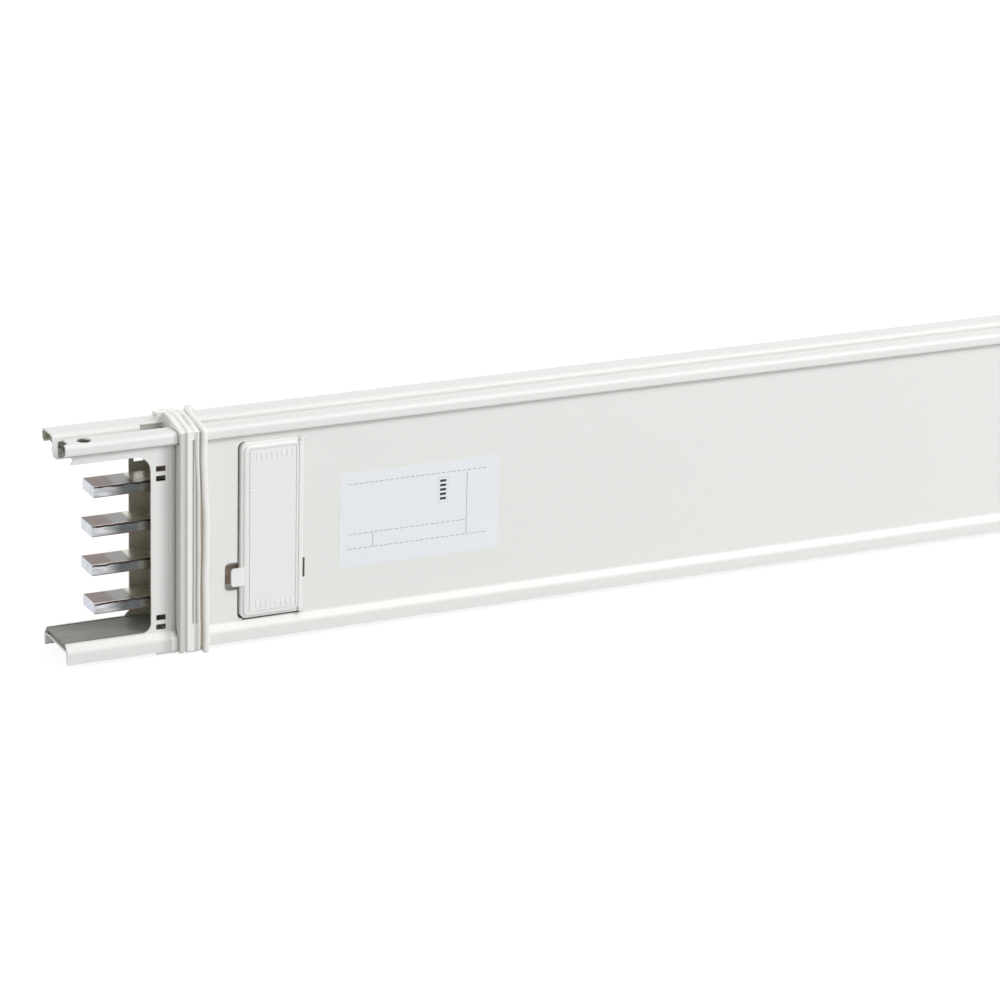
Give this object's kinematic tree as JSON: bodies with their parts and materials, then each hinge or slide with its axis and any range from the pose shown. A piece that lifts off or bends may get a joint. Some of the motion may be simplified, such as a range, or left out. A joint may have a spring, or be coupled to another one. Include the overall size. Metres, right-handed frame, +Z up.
{
  "type": "plug-in busbar trunking section",
  "caption": "Straight length of plug-in busbar trunking: white folded steel casing, bar conductors, open joint end, sealing collar and hinged tap-off outlet covers.",
  "frame": {"origin": "middle of the section's length and depth, on the surface that it stands on", "axes": "+X along the length away from the joint end shown, +Y towards the rear side, +Z up"},
  "size_m": [3, 0.052, 0.156],
  "materials": {
    "white_steel": "smooth semi-gloss powder coat",
    "tray_steel": "grey backing coat on steel",
    "bar_metal": "tinned and copper-tinted faces, sawn edges",
    "support_plastic": "moulded reinforced insulator",
    "collar_plastic": "moulded white",
    "bead_rubber": "soft white sealing lip",
    "socket_plastic": "moulded dark brown insulator",
    "outlet_plastic": "moulded white satin"
  },
  "bodies": {
    "root": {"end_top_rail": "white_steel", "end_bottom_rail": "white_steel", "end_front_plate": "white_steel", "end_rear_plate": "white_steel", "casing_top": "white_steel", "casing_bottom": "white_steel", "casing_front": "white_steel", "casing_rear": "white_steel", "end_tray": "tray_steel", "seal_collar": "collar_plastic", "collar_bead": "bead_rubber", "bar_1": "bar_metal", "bar_2": "bar_metal", "bar_3": "bar_metal", "bar_4": "bar_metal", "support_1": "support_plastic", "support_2": "support_plastic", "support_3": "support_plastic", "support_4": "support_plastic", "support_5": "support_plastic", "support_6": "support_plastic", "support_7": "support_plastic", "support_8": "support_plastic", "outlet_base_1": "socket_plastic", "outlet_base_2": "socket_plastic", "outlet_base_3": "socket_plastic", "outlet_base_4": "socket_plastic", "outlet_base_5": "socket_plastic", "outlet_base_6": "socket_plastic"},
    "cover_1": {"outlet_cover_1": "outlet_plastic"},
    "cover_2": {"outlet_cover_2": "outlet_plastic"},
    "cover_3": {"outlet_cover_3": "outlet_plastic"},
    "cover_4": {"outlet_cover_4": "outlet_plastic"},
    "cover_5": {"outlet_cover_5": "outlet_plastic"},
    "cover_6": {"outlet_cover_6": "outlet_plastic"}
  },
  "joints": [
    {"name": "cover_1_hinge", "type": "hinge", "parent": "root", "child": "cover_1", "pos_m": [-1.3401, -0.0199, 0.07725], "axis": [0, 0, 1], "range_deg": [0, 170]},
    {"name": "cover_2_hinge", "type": "hinge", "parent": "root", "child": "cover_2", "pos_m": [-0.3401, -0.0199, 0.07725], "axis": [0, 0, 1], "range_deg": [0, 170]},
    {"name": "cover_3_hinge", "type": "hinge", "parent": "root", "child": "cover_3", "pos_m": [0.6599, -0.0199, 0.07725], "axis": [0, 0, 1], "range_deg": [0, 170]},
    {"name": "cover_4_hinge", "type": "hinge", "parent": "root", "child": "cover_4", "pos_m": [-1.3799, 0.0199, 0.07725], "axis": [0, 0, 1], "range_deg": [0, 160]},
    {"name": "cover_5_hinge", "type": "hinge", "parent": "root", "child": "cover_5", "pos_m": [-0.3799, 0.0199, 0.07725], "axis": [0, 0, 1], "range_deg": [0, 170]},
    {"name": "cover_6_hinge", "type": "hinge", "parent": "root", "child": "cover_6", "pos_m": [0.6201, 0.0199, 0.07725], "axis": [0, 0, 1], "range_deg": [0, 170]}
  ]
}
